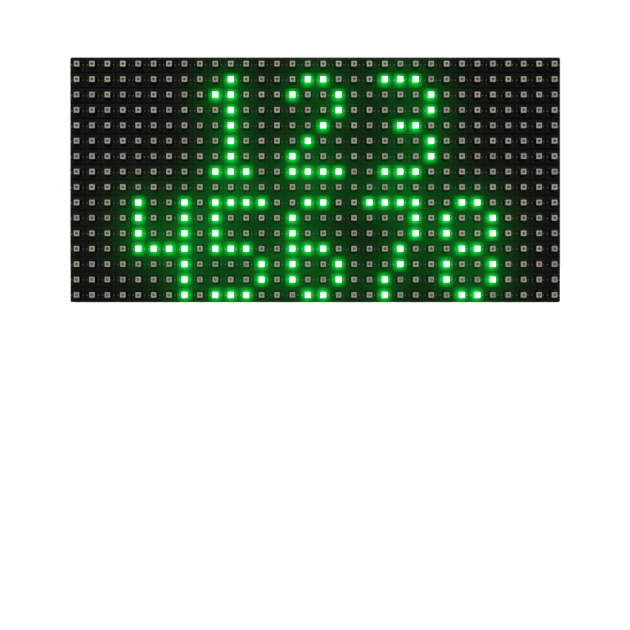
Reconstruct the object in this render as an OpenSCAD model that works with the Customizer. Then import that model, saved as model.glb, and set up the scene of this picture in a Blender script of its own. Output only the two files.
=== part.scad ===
// Outdoor LED matrix panel: a moulded black mask in front, square lamps standing on a
// circuit board that show through its windows, and a ribbed moulded frame behind.
// X runs across the panel as seen from the front, Y from the front to the back, Z up.
// The origin is in the middle of the bottom edge. Lengths are in millimetres.

/* [Pixel grid] */
// Distance from one lamp to the next, both ways
pitch = 10; // [9.6:0.1:10.4]
// Number of lamp columns
cols = 32; // [30:2:34]
// Number of lamp rows
rows = 16; // [14:2:18]
// Digits that are lit on the upper line
top_text = "123"; // [123, 246, 802]
// First column of the upper line
top_col = 8; // [2:1:12]
// Columns from one digit of the upper line to the next
top_step = 6; // [5:1:7]
// Row in which the upper line starts, counted from the top
top_row = 1; // [0:1:2]
// Digits that are lit on the lower line
bottom_text = "45678"; // [45678, 97531, 80246]
// First column of the lower line
bottom_col = 4; // [2:1:4]
// Columns from one digit of the lower line to the next
bottom_step = 5; // [5:1:5]
// Row in which the lower line starts, counted from the top
bottom_row = 9; // [8:1:9]

/* [Lamps] */
// Side of the square lamp housing
led_w = 3.5; // [3:0.1:4]
// How far a lamp stands out in front of the mask
led_proud = 2.4; // [1:0.1:3]
// Radius of the round reflector cup at its mouth
led_cup_r = 1.4; // [1.1:0.05:1.45]
// Radius of the reflector cup at its floor
led_cup_floor_r = 0.9; // [0.5:0.05:1]
// Depth of the reflector cup
led_cup_depth = 0.6; // [0.3:0.1:0.9]

/* [Mask] */
// Thickness of the mask's face in front of the board
plate_t = 2; // [1.6:0.1:3]
// Thickness of the mask's rim around the board
skirt_t = 1.8; // [1.2:0.1:2.2]
// Radius of the panel's four corners
corner_r = 1.6; // [1:0.1:3]
// Bevel along the front edge of the mask
mask_bevel = 0.9; // [0.4:0.1:1.2]
// Width of a lamp window
window_w = 5.2; // [4.6:0.1:5.4]
// Height of a lamp window above the lamp's centre
window_up = 3; // [2.4:0.1:3.2]
// Height of a lamp window below the lamp's centre
window_down = 3.3; // [2.8:0.1:3.4]
// Width of the sloping lower corners of a lamp window
window_taper_w = 1; // [0.6:0.1:1.4]
// Height of the sloping lower corners of a lamp window
window_taper_h = 1.5; // [0.8:0.1:2]
// Width of the grooves between the rows
row_groove_w = 0.9; // [0.5:0.1:1.2]
// Depth of the grooves between the rows
row_groove_d = 1.1; // [0.4:0.1:1.3]
// Width of the slope along the upper edge of each pad between the grooves
pad_slope_w = 0.6; // [0.3:0.1:0.8]
// Depth of that slope
pad_slope_d = 0.5; // [0.2:0.1:0.8]
// Width of the grooves between the columns
col_groove_w = 0.5; // [0.3:0.1:0.8]
// Depth of the grooves between the columns
col_groove_d = 0.5; // [0.3:0.1:1]
// Radius of the screw posts, which fill the board's holes
post_r = 2.7; // [2.3:0.1:2.8]
// Radius of the two pins that locate the board
pin_r = 1.8; // [1.2:0.1:2]
// Distance of the locating pins from the upper and lower edge
pin_inset = 13.4; // [13:0.1:14]

/* [Board] */
// Thickness of the circuit board
board_t = 1.6; // [1.2:0.1:2]
// Gap between the board's edge and the mask's rim
board_gap = 0.3; // [0.2:0.05:0.5]
// Gap round a post or pin in the board
post_gap = 0.2; // [0.1:0.05:0.3]

/* [Rear frame] */
// Depth of the frame behind the board
frame_t = 11.5; // [11:0.1:13]
// Thickness of the frame's rear wall
roof_t = 2.5; // [2:0.1:4]
// Thickness of the frame's outer wall
wall_t = 2.4; // [2:0.1:2.6]
// Thickness of the wall round each window
rim_t = 1.6; // [1:0.1:1.9]
// Bevel along the rear edge of the frame
frame_bevel = 1; // [0.4:0.1:1.6]
// Radius of the window corners
frame_window_r = 1.8; // [1:0.1:2.5]
// Width of the middle upright rib
mid_rib_w = 9.2; // [8.8:0.1:11]
// Width of the upright ribs next to the middle windows
inner_rib_w = 9; // [8.6:0.1:10]
// Width of the upright ribs next to the connector windows
outer_rib_w = 9.4; // [8.6:0.1:10]
// Width of the level ribs
level_rib_w = 8.4; // [8.4:0.1:10]
// Width of the slanting ribs
slant_rib_w = 9; // [8:0.1:10]
// Rise of the slanting ribs for each millimetre outwards
slant_rise = 0.571; // [0.45:0.01:0.6]
// Width of the connector windows
connector_window_w = 30.2; // [28:0.1:32]
// Width of the narrow windows between the upright ribs
narrow_window_w = 14.9; // [13:0.1:16]
// Distance of the upper and lower windows from the panel's edge
border_y = 21; // [18:0.1:23]
// Distance of the seal groove from the panel's sides
groove_x = 7.5; // [6:0.1:8]
// Distance of the seal groove from the upper and lower edge
groove_y = 5.4; // [4.8:0.1:6]
// Width of the seal groove at its floor
groove_floor_w = 1.6; // [1:0.1:2]
// Width of the slope on the seal groove's inner side
groove_slope_w = 1.5; // [0.8:0.1:1.8]
// Depth of the seal groove
groove_d = 2.6; // [1.5:0.1:3]
// Thickness of the walls that back the seal groove
groove_wall = 1.3; // [1:0.1:1.5]
// Cut across the seal groove's corners
groove_corner = 2.2; // [1:0.1:3]

/* [Screws] */
// Radius of the screw wells along the frame's edge
edge_well_r = 2.95; // [2.7:0.05:3.2]
// Radius of the screw wells inside the frame
rib_well_r = 3.2; // [2.7:0.05:3.3]
// Bevel round the mouth of each well
mouth_bevel = 0.5; // [0.2:0.1:0.7]
// Thickness of the floor that a screw clamps
seat_t = 2.5; // [2:0.1:4]
// Radius of the hole in that floor
seat_hole_r = 1.6; // [1.4:0.05:1.9]
// Radius of a screw head
screw_head_r = 2.4; // [2:0.05:2.5]
// Height of a screw head
screw_head_h = 1.8; // [1.4:0.1:2.4]
// Radius of a screw's shank
screw_r = 1.25; // [1:0.05:1.3]
// Depth of plastic between a screw's tip and the mask's face plate
tip_floor = 0.4; // [0.3:0.1:0.9]
// Clearance in front of a screw's tip
tip_gap = 0.2; // [0.1:0.1:0.3]
// Width of the cross recess in a screw head
cross_w = 0.7; // [0.5:0.1:0.9]
// Depth of the cross recess
cross_d = 1; // [0.6:0.1:1.2]
// Thickness of the wall round a screw well
well_wall = 1.4; // [1:0.1:1.6]

/* [Threaded inserts] */
// Distance of the inserts from the panel's sides
insert_inset_x = 16; // [15:0.1:17]
// Distance of the inserts from the upper and lower edge
insert_inset_z = 30; // [27:0.5:33]
// Outer radius of an insert
insert_r = 2.85; // [2.6:0.05:3.1]
// Radius of the insert's bore
insert_bore_r = 1.65; // [1.3:0.05:2]
// Length of an insert
insert_l = 8; // [5:0.5:9]
// Radius of the countersink at the insert's mouth
insert_mouth_r = 2.25; // [2.1:0.05:2.4]
// Depth of that countersink
insert_mouth_d = 0.6; // [0.3:0.1:1]
// Thickness of the plastic round an insert
insert_wall = 2.2; // [1.8:0.1:2.4]
// Radius of the fine ring moulded round each insert
ring_r = 4.5; // [4:0.1:4.9]
// Width of that ring
ring_w = 0.35; // [0.2:0.05:0.5]
// Depth of that ring
ring_d = 0.3; // [0.2:0.05:0.6]

/* [Signal headers] */
// Gap from the upright rib to the input header's solder feet
input_gap = 2; // [1:0.1:4]
// Gap from the upright rib to the output header's solder feet
output_gap = 6.6; // [1:0.1:8]
// Number of contacts in each of a header's two rows
header_pins = 8; // [5:1:8]
// Distance between contacts
header_pitch = 2.54; // [2:0.01:2.6]
// Width of a header's shroud
shroud_w = 8.4; // [8:0.1:9]
// Length of the shroud past the row of contacts, both ends together
shroud_end = 9.4; // [8:0.1:10]
// Height of the shroud's rim above the board
shroud_h = 9.1; // [8:0.1:10]
// Thickness of the shroud's walls
shroud_wall = 1; // [0.8:0.1:1.2]
// Height of the shroud's floor above the board
shroud_floor = 2.7; // [2:0.1:3.5]
// Width of the key slot in the shroud
key_w = 4.5; // [4:0.1:5]
// Side of a square contact
contact_w = 0.64; // [0.5:0.02:0.7]
// Height of the contact tips above the board
contact_h = 7.4; // [5:0.1:7.6]
// Reach of a solder foot from the header's middle
contact_reach = 6.8; // [6:0.1:7.4]

/* [Power header] */
// Gap from the middle rib to the power header
power_gap = 25.4; // [20:0.1:30]
// Height of the power header's middle above the panel's middle
power_rise = 2.4; // [0:0.1:5]
// Distance between power contacts
power_pitch = 3.96; // [3.5:0.02:4]
// Number of power contacts
power_pins = 4; // [2:1:4]
// Length of the power header past its row of contacts, both ends together
power_end = 2.2; // [2:0.1:4]
// Width of the power header
power_w = 7.4; // [6.8:0.1:8]
// Height of the power header
power_h = 8.6; // [7:0.1:9]
// Height of the power header's floor above the board
power_floor = 3; // [2:0.1:4]
// Thickness of its thin upper wall
power_thin_wall = 0.8; // [0.6:0.1:1]
// Thickness of its heavy lower wall
power_heavy_wall = 1.9; // [1.2:0.1:2.2]
// Side of a square power contact
power_contact_w = 1.14; // [0.9:0.02:1.3]
// Height of the power contact tips above the board
power_contact_h = 6.6; // [5:0.1:6.8]
// Reach of a power contact's solder foot past the housing
power_foot = 2.6; // [1.5:0.1:3]
// Thickness of a power contact's solder foot
power_foot_t = 0.6; // [0.4:0.1:0.9]

/* [Capacitors] */
// Gap from the middle rib to the first capacitor's base
can_1_gap = 17.6; // [14:0.1:22]
// Gap from the upright rib to the second capacitor's base
can_2_gap = 1.7; // [1:0.1:4]
// Distance of the capacitors below the panel's middle
can_drop = 1.4; // [0:0.1:4]
// Radius of a capacitor can
can_r = 3.25; // [2.5:0.05:3.3]
// Height of a capacitor can's top above the board
can_top = 8.4; // [6:0.1:10]
// Radius of the round base under a can
can_base_r = 3.5; // [3.4:0.05:3.6]
// Thickness of the base under a can
can_base_t = 1; // [0.6:0.1:1.5]
// Depth of the rolled groove round a can
can_groove = 0.35; // [0.2:0.05:0.5]
// Radius of a can's rounded upper edge
can_edge_r = 0.6; // [0.3:0.1:1]
// Width of a capacitor's solder tab
tab_w = 1.7; // [1:0.1:2]
// Thickness of a capacitor's solder tab
tab_t = 0.35; // [0.25:0.05:0.5]
// Reach of a solder tab from the can's middle
tab_reach = 5.1; // [4.2:0.1:5.4]

/* [Chips] */
// Gap from the upright rib to the two outer driver chips on the input side
driver_gap_input = 29.3; // [26:0.1:32]
// Gap from the middle rib to the two inner driver chips on the input side
driver_gap_mid_input = 19.2; // [16:0.1:22]
// Gap from the middle rib to the two inner driver chips on the output side
driver_gap_mid_output = 26.8; // [24:0.1:30]
// Gap from the upright rib to the two outer driver chips on the output side
driver_gap_output = 21.3; // [18:0.1:24]
// Gap from the level ribs to the driver chips' legs
driver_rise = 11.1; // [8:0.1:13]
// Gap from the middle rib to the switch chips
switch_gap = 11.8; // [9:0.1:14]
// Gap from the level ribs to the switch chips' legs
switch_rise = 2.3; // [1:0.1:4]
// Gap from the middle rib to the selector chip
selector_gap = 0.4; // [0.2:0.1:3]
// Gap from the level rib to the selector chip's legs
selector_drop = 1; // [0.5:0.1:2]
// Gap from the upright rib to the buffer chip's legs
buffer_gap = 1.6; // [1:0.1:4]
// Distance of the buffer chip below the panel's middle
buffer_drop = 0.8; // [0:0.1:3]
// Length of a driver chip's body
driver_l = 8.2; // [7.6:0.1:9]
// Width of a driver chip's body
driver_w = 5.3; // [5:0.1:5.6]
// Span of a driver chip over its legs
driver_span = 7.8; // [7.6:0.1:8.4]
// Distance between a driver chip's legs
driver_pitch = 0.65; // [0.5:0.01:0.66]
// Length of the eight-leg switch chips and width of the selector chip
switch_l = 4.9; // [4.6:0.1:5.2]
// Width of the bodies of the switch chips and the selector chip
narrow_w = 3.9; // [3.6:0.1:4.2]
// Span of those chips over their legs
narrow_span = 6; // [5.8:0.1:6.4]
// Length of the selector chip's body
selector_l = 9.9; // [9.6:0.1:10]
// Distance between the legs of the switch chips and the selector chip
wide_pitch = 1.27; // [1:0.01:1.3]
// Length of the buffer chip's body
buffer_l = 6.5; // [6.4:0.1:7]
// Width of the buffer chip's body
buffer_w = 4.4; // [4:0.1:4.6]
// Span of the buffer chip over its legs
buffer_span = 6.4; // [6.2:0.1:6.8]
// Height of the chip bodies above the board
chip_h = 1.75; // [1.2:0.05:2]
// Gap between a chip's body and the board
chip_gap = 0.1; // [0.05:0.05:0.2]
// Thickness of a chip's legs
leg_t = 0.2; // [0.15:0.05:0.25]
// Length of the foot of a chip's leg
foot_l = 0.5; // [0.3:0.05:0.6]
// Width of the two small chip resistors
resistor_w = 1.9; // [1.4:0.1:2.4]
// Length of the small chip resistors
resistor_l = 3.4; // [2.8:0.1:4]
// Gap from the switch chips' legs to the small chip resistors
resistor_gap = 0.9; // [0.5:0.1:2]
// Distance of the resistors to the side of the switch chips' middle
resistor_shift = 1.1; // [0:0.1:1.4]
// Height of the small chip resistors
resistor_h = 0.9; // [0.5:0.1:1.2]
// Length of the metal ends of the small chip resistors
resistor_end = 0.5; // [0.3:0.1:0.8]
// How far the metal ends stand out from the ceramic
resistor_lip = 0.08; // [0.04:0.01:0.12]

/* [Label] */
// Gap from the inner upright rib to the label
label_gap = 15; // [12:0.1:18]
// Gap from the level rib to the label
label_rise = 12.6; // [9:0.1:16]
// Length of the blank label
label_l = 20.2; // [16:0.1:24]
// Width of the blank label
label_w = 6; // [4:0.1:8]
// Radius of the label's corners
label_r = 1.5; // [1:0.1:1.9]
// Thickness of the label
label_t = 0.12; // [0.1:0.02:0.3]
// Tilt of the label in degrees
label_tilt = 2; // [-5:0.5:5]

/* [Hidden] */

eps = 1;
$fn = 48;

// The panel is exactly as large as its grid of cells
panel_w = cols * pitch;
panel_h = rows * pitch;

// Depth of each layer, with the whole panel centred on Y = 0
panel_depth = led_proud + plate_t + board_t + frame_t;
y_board = led_proud + plate_t - panel_depth / 2;
y_back = y_board + board_t;
led_h = plate_t + led_proud;

// Screws: one cell in from the edges, at cell corners between the lamps, and on the ribs
edge_x = panel_w / 2 - pitch;
edge_y = panel_h / 2 - pitch;
edge_screws = concat(
  [for (x = [edge_x, 10 * pitch, 6 * pitch, pitch], sx = [-1, 1], sy = [-1, 1]) [sx * x, sy * edge_y]],
  [for (sx = [-1, 1], sy = [-1, 1]) [sx * edge_x, sy * 2 * pitch]]);
rib_screws = [for (x = [8 * pitch, pitch], sx = [-1, 1], sy = [-1, 1])
  [sx * x, sy * 2 * pitch]];
screws = concat(edge_screws, rib_screws);
locating_pins = [for (sy = [-1, 1]) [0, sy * (panel_h / 2 - pin_inset)]];
inserts = [for (sx = [-1, 1], sy = [-1, 1])
  [sx * (panel_w / 2 - insert_inset_x), sy * (panel_h / 2 - insert_inset_z)]];
edge_post_r = edge_well_r + well_wall;
rib_post_r = rib_well_r + well_wall;

// Rib lines of the frame, for one quarter of it. The inserts sit in the middle of the flat
// border between the seal groove and the outer windows.
groove_w = groove_floor_w + groove_slope_w;
border_x = 2 * insert_inset_x - groove_x - groove_w;
window_x = panel_w / 2 - border_x;
window_y = panel_h / 2 - border_y;
level_lo = 2 * pitch - level_rib_w / 2;
level_hi = 2 * pitch + level_rib_w / 2;
side_x4 = window_x - connector_window_w;
side_x3 = side_x4 - outer_rib_w;
side_x2 = side_x3 - narrow_window_w;
side_x1 = side_x2 - inner_rib_w;
side_x0 = mid_rib_w / 2;

// The slanting rib leaves the level rib at the outer side rib and climbs outwards
slant_drop = slant_rib_w * sqrt(1 + slant_rise * slant_rise);
slant_hi = level_hi + slant_rise * (window_x - side_x4);
slant_lo = slant_hi - slant_drop;
slant_lo_in = slant_lo - slant_rise * (window_x - side_x4);

// Windows of one quarter, then those that straddle the middle line
quarter_windows = [
  [[side_x0, level_hi], [side_x1, level_hi], [side_x1, window_y], [side_x0, window_y]],
  [[side_x2, level_hi], [side_x4, level_hi], [window_x, slant_hi], [window_x, window_y],
    [side_x2, window_y]]];
middle_windows = [
  [[side_x0, -level_lo], [side_x1, -level_lo], [side_x1, level_lo], [side_x0, level_lo]],
  [[side_x2, -level_lo], [side_x3, -level_lo], [side_x3, level_lo], [side_x2, level_lo]],
  [[side_x4, -slant_lo_in], [window_x, -slant_lo], [window_x, slant_lo], [side_x4, slant_lo_in]]];

// Seal groove: distances of its outer wall from the middle
groove_half_x = panel_w / 2 - groove_x;
groove_half_y = panel_h / 2 - groove_y;

// Places on the back of the board, as seen from behind: across, up
board_w = panel_w - 2 * (skirt_t + board_gap);
board_h = panel_h - 2 * (skirt_t + board_gap);
header_l = (header_pins - 1) * header_pitch + shroud_end;
input_x = -(side_x4 + input_gap + contact_reach);
output_x = side_x4 + output_gap + contact_reach;
power_l = (power_pins - 1) * power_pitch + power_end;
power_x = side_x0 + power_gap + power_l / 2;
capacitors = [[-(side_x0 + can_1_gap + can_base_r), -can_drop], [side_x2 + can_2_gap + can_base_r, -can_drop]];
driver_y = level_hi + driver_rise + driver_span / 2;
driver_x = [-(side_x2 + driver_gap_input + driver_l / 2), -(side_x0 + driver_gap_mid_input + driver_l / 2),
  side_x0 + driver_gap_mid_output + driver_l / 2, side_x2 + driver_gap_output + driver_l / 2];
drivers = [for (sy = [1, -1], x = driver_x) [x, sy * driver_y]];
switch_x = side_x0 + switch_gap + switch_l / 2;
switch_y = level_hi + switch_rise + narrow_span / 2;
switches = [[switch_x, switch_y], [switch_x, -switch_y]];
resistor_y = switch_y + (narrow_span + resistor_l) / 2 + resistor_gap;
resistors = [[switch_x - resistor_shift, resistor_y], [switch_x + resistor_shift, -resistor_y]];
selector = [-(side_x0 + selector_gap + selector_l / 2), level_lo - selector_drop - narrow_span / 2];
buffer = [-(side_x2 + buffer_gap + buffer_span / 2), -buffer_drop];
label = [-(side_x1 - label_gap - label_l / 2), level_hi + label_rise + label_w / 2];

// Digits, four cells wide and seven high
glyph_w = 4;
glyph_h = 7;
DIGITS = [
  [" ## ", "#  #", "#  #", "#  #", "#  #", "#  #", " ## "],
  ["  # ", " ## ", "  # ", "  # ", "  # ", "  # ", " ###"],
  [" ## ", "#  #", "   #", "  # ", " #  ", "#   ", "####"],
  ["### ", "   #", "   #", " ## ", "   #", "   #", "### "],
  ["#  #", "#  #", "#  #", "####", "   #", "   #", "   #"],
  ["####", "#   ", "#   ", "### ", "   #", "   #", "### "],
  [" ## ", "#   ", "#   ", "### ", "#  #", "#  #", " ## "],
  ["####", "   #", "   #", "  # ", "  # ", " #  ", " #  "],
  [" ## ", "#  #", "#  #", " ## ", "#  #", "#  #", " ## "],
  [" ## ", "#  #", "#  #", " ###", "   #", "   #", " ## "]];

// True where the glyph of one line of digits covers the cell in column c and row r
function line_lit(line, row0, col0, step, c, r) =
  let (i = floor((c - col0) / step), u = c - col0 - i * step, v = r - row0)
  i >= 0 && i < len(line) && u < glyph_w && v >= 0 && v < glyph_h
  && DIGITS[ord(line[i]) - ord("0")][v][u] == "#";
function lit(c, r) =
  line_lit(top_text, top_row, top_col, top_step, c, r)
  || line_lit(bottom_text, bottom_row, bottom_col, bottom_step, c, r);
function cell(c, r) = [(c - (cols - 1) / 2) * pitch, ((rows - 1) / 2 - r) * pitch];
lit_cells = [for (c = [0:cols - 1], r = [0:rows - 1]) if (lit(c, r)) cell(c, r)];
unlit_cells = [for (c = [0:cols - 1], r = [0:rows - 1]) if (!lit(c, r)) cell(c, r)];

// Unit vector from one point to another, and a corner's inner bisector scaled so that
// a point moved along it by d lies d inside both edges
function unit(v) = v / norm(v);
function inward(prev, at, next) =
  let (a = unit(prev - at), b = unit(next - at), s = a + b)
  s / (abs(a[0] * b[1] - a[1] * b[0]));
function at(points, i) = points[(i + len(points)) % len(points)];
// A convex outline moved inwards by d, or outwards where d is negative
function inset(points, d) = [for (i = [0:len(points) - 1])
  points[i] + d * inward(at(points, i - 1), points[i], at(points, i + 1))];
function box_outline(w, h) = [[-w / 2, -h / 2], [w / 2, -h / 2], [w / 2, h / 2], [-w / 2, h / 2]];

// A convex outline with its corners rounded by true arcs
module rounded(points, r) {
  centres = inset(points, r);
  n = len(points);
  polygon([for (i = [0:n - 1], side = [-1, 1])
    let (dir = unit(at(points, i + side) - points[i]))
    points[i] + dir * ((centres[i] - points[i]) * dir)]);
  for (c = centres)
    translate(c) circle(r);
}

// Puts a drawing on the board's front, drawn as seen from the front, Z towards the viewer
module on_front() {
  translate([0, y_board, panel_h / 2]) rotate([90, 0, 0]) children();
}

// Puts a drawing on the board's back, drawn as seen from behind, Z towards the viewer
module on_back(x = 0, y = 0) {
  translate([-x, y_back, panel_h / 2 + y]) rotate([90, 0, 180]) children();
}

module slab(low, high) {
  translate([0, 0, low]) linear_extrude(high - low) children();
}

module rod(p, low, high, r, r_top) {
  translate([p[0], p[1], low]) cylinder(h = high - low, r1 = r, r2 = is_undef(r_top) ? r : r_top);
}

// Bars that bevel the four edges of a panel-sized block at the height z
module edge_bars(z, bevel) {
  s = bevel * sqrt(2);
  for (side = [-1, 1]) {
    translate([side * panel_w / 2, 0, z]) rotate([0, 45, 0]) cube([s, panel_h + 2 * eps, s], center = true);
    translate([0, side * panel_h / 2, z]) rotate([45, 0, 0]) cube([panel_w + 2 * eps, s, s], center = true);
  }
}

module window_outline() {
  polygon([[-window_w / 2, window_up], [window_w / 2, window_up],
    [window_w / 2, window_taper_h - window_down], [window_w / 2 - window_taper_w, -window_down],
    [window_taper_w - window_w / 2, -window_down], [-window_w / 2, window_taper_h - window_down]]);
}

// Mask: one moulding with a window for each lamp, a groove along each row and column of
// cells, a rim round the board, and posts and pins as long as the board is thick
module led_mask() color([0.09, 0.09, 0.1]) on_front() {
  difference() {
    slab(0, plate_t) difference() {
      rounded(box_outline(panel_w, panel_h), corner_r);
      for (c = [0:cols - 1], r = [0:rows - 1])
        translate(cell(c, r)) window_outline();
    }
    for (r = [1:rows - 1])
      translate([0, (rows / 2 - r) * pitch, plate_t]) row_groove();
    for (c = [1:cols - 1])
      translate([(c - cols / 2) * pitch - col_groove_w / 2, -panel_h / 2 - eps, plate_t - col_groove_d])
        cube([col_groove_w, panel_h + 2 * eps, col_groove_d + eps]);
    edge_bars(plate_t, mask_bevel);
  }
  slab(-board_t, 0) difference() {
    rounded(box_outline(panel_w, panel_h), corner_r);
    square([panel_w - 2 * skirt_t, panel_h - 2 * skirt_t], center = true);
  }
  difference() {
    union() {
      for (p = screws)
        rod(p, -board_t, 0, post_r);
      for (p = locating_pins)
        rod(p, -board_t, 0, pin_r);
    }
    for (p = screws)
      rod(p, -board_t - eps, tip_gap - tip_floor, screw_r);
  }
}

// Groove between two rows: square sides, and a slope onto the pad below it
module row_groove() {
  half = row_groove_w / 2;
  grade = pad_slope_w / pad_slope_d;
  rotate([90, 0, 90]) translate([0, 0, -panel_w / 2 - eps]) linear_extrude(panel_w + 2 * eps)
    polygon([[half, eps], [half, -row_groove_d], [-half, -row_groove_d], [-half, -pad_slope_d],
      [-half - pad_slope_w - grade * eps, eps]]);
}

// Lamp: a square housing with a round reflector cup in its face
module lamp() {
  difference() {
    translate([-led_w / 2, -led_w / 2, 0]) cube([led_w, led_w, led_h]);
    rod([0, 0], led_h - led_cup_depth, led_h, led_cup_floor_r, led_cup_r);
  }
}

module leds_lit() color([0.1, 0.95, 0.3]) on_front() {
  for (p = lit_cells)
    translate(p) lamp();
}

module leds_unlit() color([0.62, 0.6, 0.52]) on_front() {
  for (p = unlit_cells)
    translate(p) lamp();
}

// Board: one plate with a hole for each post and pin of the mask
module circuit_board() color([0, 0.5, 0.32]) on_front() {
  slab(-board_t, 0) difference() {
    rounded(box_outline(board_w, board_h), corner_r);
    for (p = screws)
      translate(p) circle(post_r + post_gap);
    for (p = locating_pins)
      translate(p) circle(pin_r + post_gap);
  }
}

module all_windows(grow) {
  for (sx = [0, 1]) mirror([sx, 0]) {
    for (sy = [0, 1], w = quarter_windows)
      mirror([0, sy]) rounded(inset(w, -grow), frame_window_r + grow);
    for (w = middle_windows)
      rounded(inset(w, -grow), frame_window_r + grow);
  }
}

module band(half_x, half_y, width) {
  difference() {
    square([2 * half_x, 2 * half_y], center = true);
    square([2 * (half_x - width), 2 * (half_y - width)], center = true);
  }
}

// Seal groove: steep outer wall with cut corners, sloping inner wall
module seal_groove() {
  top = frame_t;
  floor_z = frame_t - groove_d;
  hx = groove_half_x;
  hy = groove_half_y;
  k = groove_corner;
  difference() {
    slab(floor_z, top + eps) polygon([[hx, k - hy], [hx, hy - k], [hx - k, hy], [k - hx, hy],
      [-hx, hy - k], [-hx, k - hy], [k - hx, -hy], [hx - k, -hy]]);
    intersection() {
      rotate([90, 0, 0]) translate([0, 0, -panel_h / 2]) linear_extrude(panel_h)
        groove_core(hx - groove_floor_w, floor_z, top);
      rotate([90, 0, 90]) translate([0, 0, -panel_w / 2]) linear_extrude(panel_w)
        groove_core(hy - groove_floor_w, floor_z, top);
    }
  }
}

// Section of the block that stays inside the groove: slopes up to the frame's rear face
module groove_core(half, low, high) {
  grade = groove_slope_w / groove_d;
  polygon([[-half - grade * eps, low - eps], [half + grade * eps, low - eps],
    [half - groove_slope_w - grade * eps, high + eps], [groove_slope_w + grade * eps - half, high + eps]]);
}

// Well for a screw or pin, with a bevelled mouth
module well(p, low, r) {
  rod(p, low, frame_t + eps, r);
  rod(p, frame_t - mouth_bevel, frame_t + eps, r, r + mouth_bevel + eps);
}

// Rear frame: one moulding, open towards the board, with walls round its windows, posts at
// the screws and inserts, and a seal groove round its rear face
module rear_frame() color([0.17, 0.17, 0.19]) on_back() {
  difference() {
    slab(0, frame_t) difference() {
      rounded(box_outline(panel_w, panel_h), corner_r);
      all_windows(0);
    }
    slab(-eps, frame_t - roof_t) difference() {
      square([panel_w - 2 * wall_t, panel_h - 2 * wall_t], center = true);
      band(groove_half_x + groove_wall, groove_half_y + groove_wall, groove_w + 2 * groove_wall);
      all_windows(rim_t);
      for (p = edge_screws)
        translate(p) circle(edge_post_r);
      for (p = rib_screws)
        translate(p) circle(rib_post_r);
      for (p = locating_pins)
        translate(p) circle(edge_post_r);
      for (p = inserts)
        translate(p) circle(insert_r + insert_wall);
    }
    seal_groove();
    edge_bars(frame_t, frame_bevel);
    for (p = screws)
      rod(p, -eps, frame_t, seat_hole_r);
    for (p = edge_screws)
      well(p, seat_t, edge_well_r);
    for (p = rib_screws)
      well(p, seat_t, rib_well_r);
    for (p = locating_pins)
      well(p, -eps, edge_well_r);
    for (p = inserts) {
      rod(p, frame_t - insert_l, frame_t + eps, insert_r);
      difference() {
        rod(p, frame_t - ring_d, frame_t + eps, ring_r + ring_w / 2);
        rod(p, frame_t - ring_d - eps, frame_t + 2 * eps, ring_r - ring_w / 2);
      }
    }
  }
}

// Screw: pan head with a cross recess, on the floor of its well
module frame_screws() color([0.08, 0.08, 0.09]) on_back() {
  for (p = screws)
    difference() {
      union() {
        rod(p, seat_t, seat_t + screw_head_h, screw_head_r);
        rod(p, tip_floor - board_t, seat_t + screw_head_h / 2, screw_r);
      }
      for (turn = [0, 90])
        translate([p[0], p[1], seat_t + screw_head_h - cross_d / 2 + eps / 2])
          rotate(turn) cube([2 * screw_r + cross_w, cross_w, cross_d + eps], center = true);
    }
}

// Threaded insert: a brass bush, flush with the frame's rear face
module threaded_inserts() color([0.8, 0.55, 0.22]) on_back() {
  for (p = inserts)
    difference() {
      rod(p, frame_t - insert_l, frame_t, insert_r);
      rod(p, frame_t - insert_l - eps, frame_t + eps, insert_bore_r);
      rod(p, frame_t - insert_mouth_d, frame_t, insert_bore_r, insert_mouth_r);
    }
}

// Header shroud: an open box on the contacts' feet, with a key slot in its left wall
module header_shroud() {
  difference() {
    slab(contact_w, shroud_h) square([shroud_w, header_l], center = true);
    slab(shroud_floor, shroud_h + eps)
      square([shroud_w - 2 * shroud_wall, header_l - 2 * shroud_wall], center = true);
    translate([-shroud_w / 2 - eps, -key_w / 2, shroud_floor])
      cube([shroud_wall + 2 * eps, key_w, shroud_h]);
    header_contacts();
  }
}

// Contacts: each a square pin that turns out under the shroud into a solder foot
module header_contacts() {
  for (side = [-1, 1], i = [0:header_pins - 1])
    translate([0, (i - (header_pins - 1) / 2) * header_pitch, 0])
      scale([side, 1, 1]) header_contact();
}

module header_contact() {
  near = (header_pitch - contact_w) / 2;
  translate([near, -contact_w / 2, 0]) cube([contact_w, contact_w, contact_h]);
  translate([near, -contact_w / 2, 0]) cube([contact_reach - near, contact_w, contact_w]);
}

module input_header_shroud() color([0.06, 0.06, 0.07]) on_back(input_x) header_shroud();
module input_header_pins() color([0.85, 0.75, 0.5]) on_back(input_x) header_contacts();
module output_header_shroud() color([0.06, 0.06, 0.07]) on_back(output_x) header_shroud();
module output_header_pins() color([0.85, 0.75, 0.5]) on_back(output_x) header_contacts();

// Power contacts: square pins that turn out under the lower wall into solder feet
module power_contacts() {
  w = power_contact_w;
  foot = power_w / 2 + power_foot;
  for (i = [0:power_pins - 1])
    translate([(i - (power_pins - 1) / 2) * power_pitch, 0, 0]) {
      translate([-w / 2, -w / 2, 0]) cube([w, w, power_contact_h]);
      translate([-w / 2, -foot, 0]) cube([w, foot, power_foot_t]);
    }
}

// Power header housing: a trough with a heavy lower wall and a notched upper wall
module power_header_housing() color([0.07, 0.07, 0.08]) on_back(power_x, power_rise) {
  trough = power_w - power_thin_wall - power_heavy_wall;
  difference() {
    slab(power_foot_t, power_h) square([power_l, power_w], center = true);
    translate([-power_l / 2 + power_thin_wall, power_heavy_wall - power_w / 2, power_floor])
      cube([power_l - 2 * power_thin_wall, trough, power_h]);
    for (i = [1:power_pins - 1])
      translate([(i - power_pins / 2) * power_pitch, power_w / 2, power_h])
        cube([power_pitch / 3, 2 * power_thin_wall + eps, power_floor], center = true);
    power_contacts();
  }
}

module power_header_contacts() color([0.8, 0.78, 0.72]) on_back(power_x, power_rise) power_contacts();

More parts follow.
